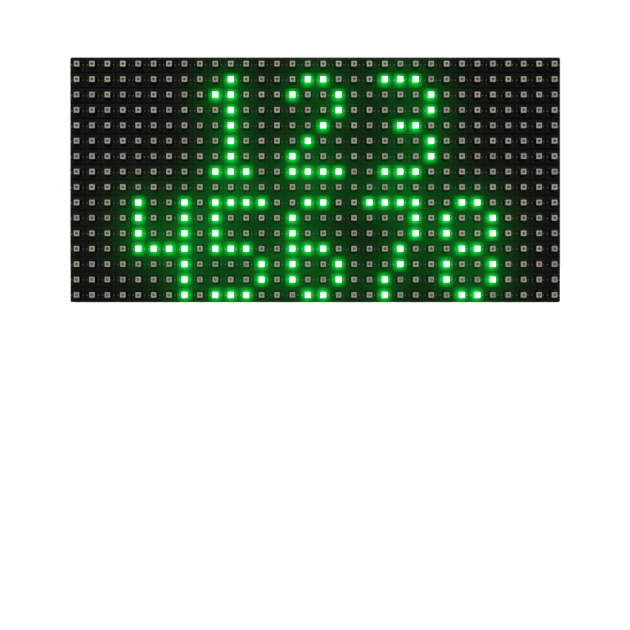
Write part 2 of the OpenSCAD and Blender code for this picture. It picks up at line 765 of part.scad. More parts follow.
// Capacitor can: drawn aluminium with a rolled groove above its foot and a rounded top edge
module capacitor_can(p) color([0.8, 0.8, 0.8]) on_back(p[0], p[1]) {
  foot = tab_t + can_base_t;
  rotate_extrude() difference() {
    union() {
      translate([0, foot]) square([can_r, can_top - foot - can_edge_r]);
      translate([0, foot]) square([can_r - can_edge_r, can_top - foot]);
      translate([can_r - can_edge_r, can_top - can_edge_r]) circle(can_edge_r);
    }
    translate([can_r + can_groove, foot + 3 * can_groove]) circle(2 * can_groove);
  }
}

// Capacitor base: a round plastic disc on the two solder tabs
module capacitor_base(p) color([0.06, 0.06, 0.06]) on_back(p[0], p[1])
  rod([0, 0], tab_t, tab_t + can_base_t, can_base_r);

module capacitor_tabs(p) color([0.8, 0.78, 0.75]) on_back(p[0], p[1]) {
  gap = tab_w / 2;
  for (side = [0, 1])
    mirror([0, side, 0]) translate([-tab_w / 2, gap, 0]) cube([tab_w, tab_reach - gap, tab_t]);
}

// Chip body: both long sides taper from the parting line, with a dimple by the first leg
module chip_body(l, w) color([0.1, 0.1, 0.1]) {
  mid = (chip_h + chip_gap) / 2;
  draft = (chip_h - mid) / 8;
  difference() {
    rotate([90, 0, 90]) translate([0, 0, -l / 2]) linear_extrude(l)
      polygon([[draft - w / 2, chip_gap], [w / 2 - draft, chip_gap], [w / 2, mid],
        [w / 2 - draft, chip_h], [draft - w / 2, chip_h], [-w / 2, mid]]);
    rod([w / 5 - l / 2, -w / 4], chip_h - chip_gap, chip_h + eps, w / 12);
  }
}

// Chip legs: straight out of the parting line, down to the board and out into a foot
module chip_legs(count, leg_pitch, w, span) color([0.82, 0.82, 0.8]) {
  mid = (chip_h + chip_gap) / 2;
  out = span / 2;
  knee = out - foot_l;
  leg_w = leg_pitch * 0.45;
  for (side = [0, 1], i = [0:count - 1])
    mirror([0, side, 0]) translate([(i - (count - 1) / 2) * leg_pitch + leg_w / 2, 0, 0])
      rotate([90, 0, 90]) translate([0, 0, -leg_w]) linear_extrude(leg_w)
        polygon([[w / 2, mid - leg_t / 2], [knee - leg_t, mid - leg_t / 2], [knee - leg_t, 0],
          [out, 0], [out, leg_t], [knee, leg_t], [knee, mid + leg_t / 2],
          [w / 2, mid + leg_t / 2]]);
}

module driver_chip(i) on_back(drivers[i][0], drivers[i][1]) chip_body(driver_l, driver_w);
module driver_legs(i) on_back(drivers[i][0], drivers[i][1])
  chip_legs(12, driver_pitch, driver_w, driver_span);
module switch_chip(i) on_back(switches[i][0], switches[i][1]) chip_body(switch_l, narrow_w);
module switch_legs(i) on_back(switches[i][0], switches[i][1])
  chip_legs(4, wide_pitch, narrow_w, narrow_span);
module selector_chip() on_back(selector[0], selector[1]) chip_body(selector_l, narrow_w);
module selector_chip_legs() on_back(selector[0], selector[1])
  chip_legs(8, wide_pitch, narrow_w, narrow_span);
module buffer_chip() on_back(buffer[0], buffer[1]) rotate(90) chip_body(buffer_l, buffer_w);
module buffer_chip_legs() on_back(buffer[0], buffer[1]) rotate(90)
  chip_legs(10, driver_pitch, buffer_w, buffer_span);

// Chip resistors: a ceramic block with metal ends that stand a little proud
module chip_resistors() color([0.85, 0.85, 0.82]) {
  for (p = resistors)
    on_back(p[0], p[1]) union() {
      slab(0, resistor_h - resistor_lip) square([resistor_w - 2 * resistor_lip, resistor_l], center = true);
      for (side = [-1, 1])
        slab(0, resistor_h) translate([0, side * (resistor_l - resistor_end) / 2])
          square([resistor_w, resistor_end], center = true);
    }
}

module blank_label() color([0.95, 0.95, 0.95]) on_back(label[0], label[1])
  rotate(label_tilt) slab(0, label_t) rounded(box_outline(label_l, label_w), label_r);

led_mask();
leds_lit();
leds_unlit();
circuit_board();
rear_frame();
frame_screws();
threaded_inserts();
input_header_shroud();
input_header_pins();
output_header_shroud();
output_header_pins();
power_header_housing();
power_header_contacts();
capacitor_can(capacitors[0]);  // capacitor_1_can
capacitor_base(capacitors[0]);  // capacitor_1_base
capacitor_tabs(capacitors[0]);  // capacitor_1_tabs
capacitor_can(capacitors[1]);  // capacitor_2_can
capacitor_base(capacitors[1]);  // capacitor_2_base
capacitor_tabs(capacitors[1]);  // capacitor_2_tabs
for (i = [0:7]) {
  driver_chip(i);
  driver_legs(i);
}
for (i = [0:1]) {
  switch_chip(i);
  switch_legs(i);
}
selector_chip();
selector_chip_legs();
buffer_chip();
buffer_chip_legs();
chip_resistors();
blank_label();
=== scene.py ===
# %% [markdown]
# # An LED matrix panel, dressed for the camera
# The panel is an outdoor display module. A black mask with a window for each lamp is in front, the lamps stand on
# a circuit board behind it, and a ribbed frame of dark plastic closes the back. The CAD model already holds every
# solid at its true size. This script gives each one its finish, and adds what is too small or too thin for
# CAD: rounded edges, sealing resin, guide pips, copper tracks, solder, print and screw threads.

import math

import bmesh
import bpy
import numpy as np
from mathutils import Matrix, Vector


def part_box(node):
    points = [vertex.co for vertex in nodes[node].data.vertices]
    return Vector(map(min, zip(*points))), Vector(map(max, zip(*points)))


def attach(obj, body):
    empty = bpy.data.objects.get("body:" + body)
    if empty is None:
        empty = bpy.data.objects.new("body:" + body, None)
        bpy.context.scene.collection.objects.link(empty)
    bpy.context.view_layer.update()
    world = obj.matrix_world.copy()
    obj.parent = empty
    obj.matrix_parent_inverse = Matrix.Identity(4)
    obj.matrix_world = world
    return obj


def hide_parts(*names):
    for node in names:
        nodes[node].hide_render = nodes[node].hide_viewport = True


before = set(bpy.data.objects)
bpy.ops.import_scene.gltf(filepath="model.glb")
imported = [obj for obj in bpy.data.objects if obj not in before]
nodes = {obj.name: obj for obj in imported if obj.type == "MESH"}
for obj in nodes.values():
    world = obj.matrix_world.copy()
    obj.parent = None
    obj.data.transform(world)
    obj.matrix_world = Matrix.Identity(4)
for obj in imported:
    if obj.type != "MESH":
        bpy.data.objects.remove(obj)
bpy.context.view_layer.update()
scene = bpy.context.scene
MM = 0.001
print(len(nodes), "solids come from the packed model")

# %% [markdown]
# ## The planes that everything is measured from
# Most of what follows lies on one of four planes: the lamps' faces, the mask's face, and the two sides of the
# board. They could be typed in, but the model knows them, so they are read from its boxes. The lamps stand
# 10 mm apart, which gives the grid, and the cells that have a lit lamp are read from the lit lamps' points.

# %% Read the planes and the lit cells
PITCH = 10 * MM
mask_low, mask_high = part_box("led_mask")
face_of_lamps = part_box("leds_unlit")[0].y
face_of_mask = mask_low.y
board_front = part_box("circuit_board")[0].y
board_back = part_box("circuit_board")[1].y
rear_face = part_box("rear_frame")[1].y
middle = (mask_low.z + mask_high.z) / 2
columns = round((mask_high.x - mask_low.x) / PITCH)
rows = round((mask_high.z - mask_low.z) / PITCH)


def cells_of(node):
    """The centre of each grid cell that holds a lamp of this node, across and up from the panel's middle"""
    points = np.array([v.co for v in nodes[node].data.vertices])
    across = np.floor(points[:, 0] / PITCH).astype(int)
    up = np.floor((points[:, 2] - middle) / PITCH).astype(int)
    cells = sorted(set(zip(across.tolist(), up.tolist())))
    return [Vector(((c + 0.5) * PITCH, (r + 0.5) * PITCH, 0)) for c, r in cells]


lit_cells = cells_of("leds_lit")
unlit_cells = cells_of("leds_unlit")
print(columns, "columns and", rows, "rows, with", len(lit_cells), "lit and", len(unlit_cells), "unlit lamps")

# %% [markdown]
# ## The camera
# The panel is seen from straight ahead, a little left of its middle and low down, and it fills the upper half
# of the picture. A camera that is tilted or turned would make its sides converge. So the camera stays level
# and looks straight at the panel, as a view camera does, and its sensor is shifted to bring the panel up.

# %% Place the camera
CAMERA_PLACE = (-0.031, -0.450, 0.030)
LENS = 38.9
SENSOR = 36
SHIFT_RIGHT, SHIFT_UP = 0.075, -0.093
camera_data = bpy.data.cameras.new("level_camera")
camera_data.sensor_width = SENSOR
camera_data.lens = LENS
camera_data.shift_x = SHIFT_RIGHT
camera_data.shift_y = SHIFT_UP
camera_data.clip_start = 0.01
camera = bpy.data.objects.new("level_camera", camera_data)
camera.location = CAMERA_PLACE
camera.rotation_euler = (math.radians(90), 0, 0)
scene.collection.objects.link(camera)
scene.camera = camera
print("the camera stands", round(face_of_mask - camera.location.y, 4), "m in front of the mask")

# %% [markdown]
# ## Shader maths as plain Python
# A pattern such as "dark inside the cup" is a small sum over the place on the surface. Building it node by
# node hides the sum. So this class wraps a socket, and `1 - mask` or `edge * 0.5` adds the Math nodes.

# %% Numbers inside a material
class Value:
    """A number inside a material: sums written with it add the Math nodes"""

    def __init__(self, finish, socket):
        self.finish = finish
        self.socket = socket

    def __add__(self, other):
        return self.finish.math("ADD", self, other)

    def __sub__(self, other):
        return self.finish.math("SUBTRACT", self, other)

    def __rsub__(self, other):
        return self.finish.math("SUBTRACT", other, self)

    def __mul__(self, other):
        return self.finish.math("MULTIPLY", self, other)

    def __truediv__(self, other):
        return self.finish.math("DIVIDE", self, other)

    def __pow__(self, other):
        return self.finish.math("POWER", self, other)

    def __mod__(self, other):
        return self.finish.math("FLOORED_MODULO", self, other)

    def __lt__(self, other):
        return self.finish.math("LESS_THAN", self, other)

    def __gt__(self, other):
        return self.finish.math("GREATER_THAN", self, other)

    def __abs__(self):
        return self.finish.math("ABSOLUTE", self, 0)

    __radd__ = __add__
    __rmul__ = __mul__


print("a number inside a material can be used in a sum")

# %% [markdown]
# ## Finishes
# A finish is one material. One of its methods adds any node that isn't maths: its settings first, then the
# values or links of its sockets. The others make what nearly every finish here needs: the place on the panel in
# millimetres, soft noise of a stated size, a blend of two colours, and a relief.

# %% A material and its nodes
class Finish:
    """A material of this panel, and the nodes that make it"""

    def __init__(self, name, **constants):
        self.material = bpy.data.materials.new(name)
        self.material.use_nodes = True
        self.tree = self.material.node_tree
        self.shader = self.tree.nodes["Principled BSDF"]
        for socket, value in constants.items():
            self.shader.inputs[socket.replace("_", " ")].default_value = value

    def add(self, kind, settings=None, sockets=None):
        """Adds a node: its settings first, then the values or links of its sockets"""
        node = self.tree.nodes.new("ShaderNode" + kind)
        for name, value in (settings or {}).items():
            setattr(node, name, value)
        for name, value in (sockets or {}).items():
            self.feed(node.inputs[name], value)
        return node

    def feed(self, socket, value):
        """Links a socket to a Value or another socket, or sets it to a plain value"""
        source = getattr(value, "socket", value)
        if isinstance(source, bpy.types.NodeSocket):
            self.tree.links.new(source, socket)
        else:
            socket.default_value = value

    def math(self, operation, a, b):
        """Adds one Math node"""
        node = self.add("Math", {"operation": operation}, {0: a, 1: b})
        return Value(self, node.outputs[0])

    def clamp(self, value):
        """Keeps a number between 0 and 1"""
        node = self.add("Clamp", None, {"Value": value})
        return Value(self, node.outputs[0])

    def place(self):
        """Where a point lies, in millimetres: across, towards the back, and up from the panel's middle"""
        spot = self.add("TexCoord").outputs["Object"]
        parts = self.add("SeparateXYZ", None, {"Vector": spot}).outputs
        x, y, z = (Value(self, part) for part in parts)
        return x / MM, y / MM, (z - middle) / MM

    def speckle(self, size, detail=2.0, stretch=(1, 1, 1)):
        """Soft noise from 0 to 1, whose lumps are about size millimetres across"""
        spot = self.add("TexCoord").outputs["Object"]
        scaled = self.add("Mapping", None, {"Vector": spot, "Scale": stretch})
        noise = self.add("TexNoise", None,
                         {"Vector": scaled.outputs[0], "Scale": 1 / (size * MM), "Detail": detail})
        return Value(self, noise.outputs[0])

    def blend(self, amount, first, second):
        """The first colour where amount is 0, the second where it is 1"""
        colours = [c + (1,) if isinstance(c, tuple) else c for c in (first, second)]
        node = self.add("Mix", {"data_type": "RGBA"}, {0: amount, 6: colours[0], 7: colours[1]})
        return node.outputs[2]

    def relief(self, height, depth):
        """Bumps up to depth millimetres high where height is 1"""
        node = self.add("Bump", None, {"Height": height, "Distance": depth * MM, "Strength": 1.0})
        self.feed(self.shader.inputs["Normal"], node.outputs[0])

    def set(self, **sockets):
        """Feeds the shader's own sockets, such as Base_Color or Roughness"""
        for socket, value in sockets.items():
            self.feed(self.shader.inputs[socket.replace("_", " ")], value)


print("a finish can be built")

# %% [markdown]
# ## Drawing flat, then standing up
# New pieces are drawn lying flat, x to the right and y up, with z as the height, as on a drawing table. One
# matrix then stands them up: in front of a plane for what is seen from the front, or behind one for what is
# seen from behind, where right and left change places.

# %% Stand a flat drawing up
def in_front_of(plane):
    """Stands a flat drawing up in front of a plane, facing the viewer in front"""
    return Matrix.Translation((0, plane, middle)) @ Matrix.Rotation(math.radians(90), 4, "X")


def behind(plane):
    """Stands a flat drawing up behind a plane, facing a viewer behind the panel"""
    turn = Matrix.Rotation(math.radians(180), 4, "Z") @ Matrix.Rotation(math.radians(90), 4, "X")
    return Matrix.Translation((0, plane, middle)) @ turn


print("one step up on a drawing in front is", tuple(in_front_of(0).to_3x3().col[1]), "on the panel")

# %% [markdown]
# ## Shaping meshes
# Small pieces that repeat are made once and stamped. A copy of a CAD solid is merged from its loose triangles
# before anything is done to it, and its sharp edges can then be rounded.

# %% Stamp, merge and round
def stamped(shape, places):
    """One mesh with a copy of a small shape at each place"""
    stamp = bpy.data.meshes.new("stamp")
    shape.to_mesh(stamp)
    shape.free()
    mesh = bmesh.new()
    for place in places:
        stamp.transform(Matrix.Translation(place))
        mesh.from_mesh(stamp)
        stamp.transform(Matrix.Translation(-place))
    bpy.data.meshes.remove(stamp)
    return mesh


def merged_copy(*names):
    """A copy of CAD nodes with their loose triangles joined into whole faces"""
    mesh = bmesh.new()
    for name in names:
        mesh.from_mesh(nodes[name].data)
    bmesh.ops.remove_doubles(mesh, verts=mesh.verts, dist=0.002 * MM)
    bmesh.ops.dissolve_limit(mesh, angle_limit=math.radians(0.5), verts=mesh.verts, edges=mesh.edges)
    return mesh


def ease_edges(mesh, width, segments, chosen):
    """Rounds the sharp outer edges that chosen() picks"""
    edges = [e for e in mesh.edges if e.is_convex and e.calc_face_angle(0) > math.radians(30) and chosen(e)]
    bmesh.ops.bevel(mesh, geom=edges, offset=width, offset_type="OFFSET", segments=segments, profile=0.5,
                    affect="EDGES", clamp_overlap=True, material=-1)
    return len(edges)


print("meshes can be stamped, merged and rounded")

# %% [markdown]
# ## Putting finishes on
# A new piece gets its finish when its mesh is turned into an object, and rides on the panel's one body. A CAD
# solid that keeps its shape is only dressed in a finish.

# %% Make pieces and dress CAD solids
def finished_piece(name, mesh, finish, stand=None, smooth=None):
    """Turns a mesh into a piece of the panel, with its finish, on the panel's one body"""
    data = bpy.data.meshes.new(name)
    if stand is not None:
        bmesh.ops.transform(mesh, matrix=stand, verts=mesh.verts)
    mesh.to_mesh(data)
    mesh.free()
    if smooth is not None:
        data.polygons.foreach_set("use_smooth", [True] * len(data.polygons))
        data.set_sharp_from_angle(angle=math.radians(smooth))
    data.materials.append(finish.material)
    piece = bpy.data.objects.new(name, data)
    scene.collection.objects.link(piece)
    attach(piece, "root")
    print(name, "has", len(data.polygons), "faces")
    return piece


def dress(finish, *names):
    """Gives CAD nodes a finish in place of their plain colour"""
    for name in names:
        for slot in nodes[name].material_slots:
            slot.material = finish.material


print("pieces can be made and dressed")

# %% [markdown]
# ## Moulded plastic
# Five kinds of plastic are on the panel, and all come out of a mould with the same signs: a fine grain that
# spreads the highlights, soft patches where the plastic flowed, and shinier spots where it was handled. One
# function makes them all. The patches change colour and gloss a little, and the grain is a bump.

# %% A function for moulded plastics
def moulded_plastic(name, colour, roughness, grain, grain_depth, patch=14, specular=0.5):
    """Plastic with flow patches about patch millimetres across and a grain"""
    finish = Finish(name, Specular_IOR_Level=specular)
    flow = finish.speckle(patch, 3, (1, 1, 2.2))
    wear = finish.speckle(2.4, 2)
    darker = tuple(0.72 * c for c in colour)
    lighter = tuple(1.3 * c for c in colour)
    finish.set(Base_Color=finish.blend(flow, darker, lighter),
               Roughness=finish.clamp(roughness + (wear - 0.5) * 0.16 + (flow - 0.5) * 0.12))
    finish.relief(finish.speckle(grain, 1), grain_depth)
    return finish


print("moulded plastic can be made")

# %% [markdown]
# ## Light from the lit lamps
# A lit lamp floods its own window and the pads round it, and the cells near it still look green. Path tracing
# that light from 98 small lamps gives a grainy picture, and a cast glow doesn't travel with the model. So the
# light that reaches each point of the mask is worked out once, as a sum over the lit lamps, and is stored
# in the mesh, in batches that fit into memory. The bright halo right round a lamp is finer than the mesh, so for
# that each face stores only whether its cell is lit.

# %% Work out the glow
GLOW_LEVEL = 0.075
GLOW_REACH = 7.0
BATCHES = 40
lit_centres = np.array([(p.x, p.y) for p in lit_cells]) / MM


def glow_at(points):
    """How much light of all the lamps reaches points given in millimetres across and up"""
    far = np.hypot(points[:, None, 0] - lit_centres[None, :, 0], points[:, None, 1] - lit_centres[None, :, 1])
    return GLOW_LEVEL * np.exp(-far / GLOW_REACH).sum(1)


def in_lit_cell(points):
    """1 for each point that lies in a cell with a lit lamp, else 0"""
    return (np.abs(points[:, None] - lit_centres[None]).max(2) < PITCH / MM / 2).any(1)


def store_glow(piece):
    """Writes the glow at each point of a piece into its mesh, and which of its faces lie in lit cells"""
    data = piece.data
    for name, domain, measure, spots in (("glow", "POINT", glow_at, [v.co for v in data.vertices]),
                                         ("in_lit_cell", "FACE", in_lit_cell, [f.center for f in data.polygons])):
        flat = np.array([(p.x, p.z - middle) for p in spots]) / MM
        values = np.concatenate([measure(part) for part in np.array_split(flat, BATCHES)])
        field = data.attributes.new(name, "FLOAT", domain)
        field.data.foreach_set("value", values.astype(np.float32))
        print(piece.name, name, "goes up to", round(float(values.max()), 3))


print("beside the first lit lamp the glow is", round(float(glow_at(lit_centres[:1] + 4)[0]), 3))

# %% [markdown]
# ### The glow in a material
# The material adds the stored glow and the halo of the lamp in its cell, as emission. Both stop at the front of
# the board, past which no light comes. The green of such lamps is purer than a screen can show, so in a picture it
# also takes away what red there is: the plastic's own colour goes where the glow is strong.

# %% Let a finish glow
HALO_LEVEL = 0.85
HALO_REACH = 3.4
OWN_COLOUR_FADE = 20
LAMP_GREEN = (0.0, 1.0, 0.055)


def lamp_place(finish):
    """Distances in millimetres: across and up from a lamp's middle, out from it, and behind the lamps' face"""
    x, y, z = finish.place()
    pitch = PITCH / MM
    u = (x % pitch) - pitch / 2
    v = (z % pitch) - pitch / 2
    out = (u * u + v * v) ** 0.5
    return u, v, out, y - face_of_lamps / MM


def add_glow(finish, share=1.0, halo=1.0):
    """Makes a finish shine with the glow stored in its mesh, and with the halo of the lamp in its cell"""
    stored, cell = (Value(finish, finish.add("Attribute", {"attribute_name": name}).outputs["Fac"])
                    for name in ("glow", "in_lit_cell"))
    _, _, out, depth = lamp_place(finish)
    out = out / HALO_REACH
    halo_here = cell * HALO_LEVEL * halo * finish.math("EXPONENT", out * out * -1, 0)
    in_front = depth < (board_front - face_of_lamps) / MM + 0.05
    amount = finish.clamp((stored * share + halo_here) * in_front)
    finish.set(Emission_Color=finish.blend(amount, (0.0, 0.0, 0.0), LAMP_GREEN), Emission_Strength=1.0)
    base = finish.shader.inputs["Base Color"]
    own_colour = base.links[0].from_socket if base.links else tuple(base.default_value)[:3]
    if halo:
        finish.set(Base_Color=finish.blend(finish.clamp(amount * OWN_COLOUR_FADE), own_colour, (0.0, 0.0, 0.0)))


print("a finish can glow up to", HALO_LEVEL, "beside a lamp")

# %% [markdown]
# ## The mask
# The mask is one black moulding, with a raised pad round each window and grooves between the pads. Light from
# above catches the upper edges and corners of the pads, and without small radii those lines of light would be
# missing. The CAD solid is sharp, so a copy of it is merged and its front edges are rounded. Before that its
# faces are cut along the grid, so that each face lies in one cell and can tell whether that cell is lit.

# %% Cut and round the mask
MASK_EDGE = 0.16
mask_mesh = merged_copy("led_mask")
cuts = [((column * PITCH, 0, 0), (1, 0, 0)) for column in range(1 - columns // 2, columns // 2)]
cuts += [((0, 0, middle + row * PITCH), (0, 0, 1)) for row in range(1 - rows // 2, rows // 2)]
for spot, across in cuts:
    everything = list(mask_mesh.verts) + list(mask_mesh.edges) + list(mask_mesh.faces)
    bmesh.ops.bisect_plane(mask_mesh, geom=everything, dist=0.001 * MM, plane_co=spot, plane_no=across)
front_half = (face_of_mask + board_front) / 2
rounded_count = ease_edges(mask_mesh, MASK_EDGE * MM, 1, lambda e: max(v.co.y for v in e.verts) < front_half)
mask_plastic = moulded_plastic("black_mask_plastic", (0.0044, 0.0037, 0.0039), 0.46, 0.35, 0.012,
                               specular=0.05)
add_glow(mask_plastic)
mask = finished_piece("louvred_mask", mask_mesh, mask_plastic)
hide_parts("led_mask")
store_glow(mask)
print(rounded_count, "edges are rounded")

# %% [markdown]
# ## Guide pips
# On each side of a window the pad carries a small glossy pip, where the mould pushes the part out. Each one
# shows as a point of light beside the lamp. A pip is a low dome: a short cone whose upper face is inset and
# raised. It repeats more than a thousand times, so it has only a few dozen faces.

# %% Make the pips
PIP_X, PIP_Y = 3.65, -0.25
PIP_RADIUS, PIP_HEIGHT = 0.48, 0.42


def dome(radius, height, segments):
    """A low round dome that stands on z = 0, in millimetres"""
    mesh = bmesh.new()
    shoulder = 0.7 * height * MM
    bmesh.ops.create_cone(mesh, cap_ends=True, segments=segments, radius1=radius * MM, radius2=0.7 * radius * MM,
                          depth=shoulder, matrix=Matrix.Translation((0, 0, shoulder / 2)))
    top = max(mesh.faces, key=lambda f: f.calc_center_median().z)
    bmesh.ops.inset_individual(mesh, faces=[top], thickness=0.35 * radius * MM, depth=0)
    bmesh.ops.translate(mesh, vec=(0, 0, 0.3 * height * MM), verts=top.verts)
    return mesh


pip_places = [cell + Vector((side * PIP_X * MM, PIP_Y * MM, -0.02 * MM))
              for cell in lit_cells + unlit_cells for side in (-1, 1)]
pip_plastic = Finish("glossy_pip", Base_Color=(0.02, 0.02, 0.02, 1), Roughness=0.25, Coat_Weight=0.5)
add_glow(pip_plastic, 1.3, 1.3)
pip = dome(PIP_RADIUS, PIP_HEIGHT, 10)
bmesh.ops.scale(pip, vec=(1, 1.3, 1), verts=pip.verts)
pips = finished_piece("guide_pips", stamped(pip, pip_places), pip_plastic,
                      in_front_of(face_of_mask), smooth=60)
store_glow(pips)

# %% [markdown]
# ## Sealing resin
# Such panels stand out in the rain. After the mask is on, clear resin is poured over the board, and it sets
# round the feet of the lamps with a glossy surface that creeps up the walls a little. One window's filling is a
# ring: its outer outline follows the window and its inner one the lamp, and the two are bridged.

# %% Pour the resin
WINDOW = [(-2.6, 3.0), (-2.6, -1.8), (-1.6, -3.3), (1.6, -3.3), (2.6, -1.8), (2.6, 3.0)]
LAMP_HALF = 1.75
RESIN_LEVEL = 0.9
CREEP = 0.35


def resin_ring():
    """The resin in one window: a ring round the lamp, higher at the window's wall"""
    mesh = bmesh.new()
    outer = [mesh.verts.new((x * MM, y * MM, (RESIN_LEVEL + CREEP) * MM)) for x, y in WINDOW]
    corners = ((-1, 1), (-1, -1), (1, -1), (1, 1))
    inner = [mesh.verts.new((right * LAMP_HALF * MM, up * LAMP_HALF * MM, RESIN_LEVEL * MM)) for right, up in corners]
    for loop in (outer, inner):
        mesh.faces.new(loop)
    edges = list(mesh.edges)
    bmesh.ops.delete(mesh, geom=list(mesh.faces), context="FACES_ONLY")
    bridged = bmesh.ops.bridge_loops(mesh, edges=edges)
    lower = bmesh.ops.extrude_face_region(mesh, geom=bridged["faces"], use_keep_orig=True)
    for vert in (g for g in lower["geom"] if isinstance(g, bmesh.types.BMVert)):
        vert.co.z = 0.02 * MM
    bmesh.ops.recalc_face_normals(mesh, faces=mesh.faces)
    return mesh


resin = Finish("sealing_resin", Base_Color=(0.002, 0.003, 0.002, 1), Roughness=0.2, Specular_IOR_Level=0.15)
resin.relief(resin.speckle(1.6, 1), 0.03)
add_glow(resin, 0.5, 1.1)
resin_piece = finished_piece("sealing_resin", stamped(resin_ring(), lit_cells + unlit_cells), resin,
                             in_front_of(board_front), smooth=40)
store_glow(resin_piece)

# %% [markdown]
# ## The lamps
# A lamp is a black housing with a pale front, a round reflector cup, and clear resin over a tiny die. Its CAD
# solid has a cup with very many sides, and sharp edges. A lighter lamp is modelled from a cube: its corners are
# bevelled, its front is inset, the inset is drawn to a circle, and the circle is pushed in.

# %% Model one lamp
LAMP_CORNER = 0.22
LAMP_EDGE = 0.12
CUP = 0.95
CUP_FLOOR = 0.72
CUP_DEPTH = 0.45


def lamp_shape():
    """One lamp that stands on z = 0, with its cup in its upper face"""
    height = (board_front - face_of_lamps) / MM
    size = Matrix.Diagonal((2 * LAMP_HALF * MM, 2 * LAMP_HALF * MM, height * MM, 1))
    mesh = bmesh.new()
    bmesh.ops.create_cube(mesh, size=1, matrix=Matrix.Translation((0, 0, height / 2 * MM)) @ size)
    uprights = [e for e in mesh.edges if abs(e.verts[0].co.z - e.verts[1].co.z) > MM]
    bmesh.ops.bevel(mesh, geom=uprights, offset=LAMP_CORNER * MM, offset_type="OFFSET", segments=1, profile=0.5,
                    affect="EDGES", clamp_overlap=True, material=-1)
    top = max(mesh.faces, key=lambda f: f.calc_center_median().z)
    bmesh.ops.subdivide_edges(mesh, edges=[e for e in top.edges if e.calc_length() > MM], cuts=2)
    top = max(mesh.faces, key=lambda f: f.calc_center_median().z)
    bmesh.ops.inset_individual(mesh, faces=[top], thickness=LAMP_EDGE * MM, depth=0)
    for vert in (v for v in mesh.verts if v.co.z > MM and v not in top.verts[:]):
        vert.co.z -= LAMP_EDGE * MM
    bmesh.ops.inset_individual(mesh, faces=[top], thickness=0.3 * MM, depth=0)
    for radius, depth in ((CUP, 0), (CUP_FLOOR, CUP_DEPTH)):
        if depth:
            bmesh.ops.inset_individual(mesh, faces=[top], thickness=0.05 * MM, depth=0)
        for vert in top.verts:
            flat = Vector((vert.co.x, vert.co.y)).normalized() * radius * MM
            vert.co = (flat.x, flat.y, vert.co.z - depth * MM)
    return mesh


print("a lamp has", len(lamp_shape().faces), "faces")

# %% [markdown]
# ### Unlit lamps
# The pale front has aged a little differently on every lamp, so each cell of the grid gets its own random
# tint. The cup holds clear resin over a dark floor, with a paler square die in the middle. All of it is
# found from the distance to the middle of the cell and the depth behind the lamp's face.

# %% Finish the unlit lamps
def lamp_tint(finish):
    """A random number for each cell of the grid"""
    x, _, z = finish.place()
    column, row = (finish.math("FLOOR", along / (PITCH / MM), 0) for along in (x, z))
    cell = finish.add("CombineXYZ", None, {0: column, 1: row})
    return Value(finish, finish.add("TexWhiteNoise", None, {"Vector": cell.outputs[0]}).outputs[0])


unlit = Finish("unlit_lamp", Coat_Roughness=0.08)
u, v, out, depth = lamp_place(unlit)
tint = lamp_tint(unlit)
front = unlit.blend(tint, (0.23, 0.205, 0.165), (0.33, 0.31, 0.25))
warm_front = unlit.blend(unlit.speckle(0.5, 1) * 0.35, front, (0.20, 0.19, 0.17))
inside_cup = unlit.clamp((CUP + 0.02 - out) * 14)
die = (abs(u) < 0.17) * (abs(v) < 0.17) * (depth > 0.3)
cup_colour = unlit.blend(die, (0.03, 0.024, 0.02), (0.20, 0.19, 0.16))
on_side = unlit.clamp((depth - 0.34) * 4) * (1 - inside_cup)
unlit.set(Base_Color=unlit.blend(on_side, unlit.blend(inside_cup, warm_front, cup_colour), (0.006, 0.006, 0.006)),
          Roughness=0.45 - inside_cup * 0.3, Coat_Weight=inside_cup)
add_glow(unlit, 0.5, 0)
unlit_piece = finished_piece("unlit_lamps", stamped(lamp_shape(), unlit_cells), unlit,
                             in_front_of(board_front))
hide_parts("leds_unlit")
store_glow(unlit_piece)

# %% [markdown]
# ### Lit lamps
# A lit lamp is far brighter than the picture can hold, so its face is clipped to white and only its edge and
# its sides show that it is green. The colour stays below 1, and one strength for the whole lamp makes
# it clip: the middle has some red and blue in it, which clip too, and the rim has almost none.

# %% Finish the lit lamps
lit = Finish("lit_lamp", Base_Color=(0.02, 0.05, 0.03, 1), Roughness=0.4, Emission_Strength=3.2)
u, v, out, depth = lamp_place(lit)
square = lit.math("MAXIMUM", abs(u), abs(v))
core = lit.clamp((1.95 - square) * 3.5) * lit.clamp(1.3 - depth * 1.6)
side_light = lit.clamp(1 - depth / 5)
rim = lit.blend(side_light, (0.0, 0.06, 0.006), (0.0, 0.42, 0.05))
lit.set(Emission_Color=lit.blend(core, rim, (0.62, 1.0, 0.68)))
lit_piece = finished_piece("lit_lamps", stamped(lamp_shape(), lit_cells), lit,
                           in_front_of(board_front))
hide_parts("leds_lit")

# %% [markdown]
# ## The rear frame
# The frame is charcoal plastic with glass fibre in it. It shows pale lines along the edges of its ribs and
# round the mouths of its wells, where the rounded edge faces the light. Again a merged copy of the CAD solid
# is rounded, here only at the rear face. Long flow marks and a fine grain run across it.

# %% Round and finish the frame
FRAME_EDGE = 0.6
REAR_SKIN = 3
frame_mesh = merged_copy("rear_frame")
rounded_count = ease_edges(frame_mesh, FRAME_EDGE * MM, 3,
                           lambda e: min(v.co.y for v in e.verts) > rear_face - REAR_SKIN * MM)
frame_plastic = moulded_plastic("charcoal_frame_plastic", (0.0095, 0.0102, 0.0135), 0.45, 0.5, 0.02, patch=22,
                                specular=0.22)
rear = finished_piece("ribbed_rear_frame", frame_mesh, frame_plastic, smooth=35)
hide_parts("rear_frame")
print(rounded_count, "edges are rounded")

# %% [markdown]
# ## The circuit board
# The board is glass fibre laminate under a green solder mask. Where copper lies under the green, it looks
# lighter. The weave of the glass shows through faintly as a fine check. Its edge is the bare, yellowish
# laminate, and its front is black behind the resin. The depth of a point tells the three apart.

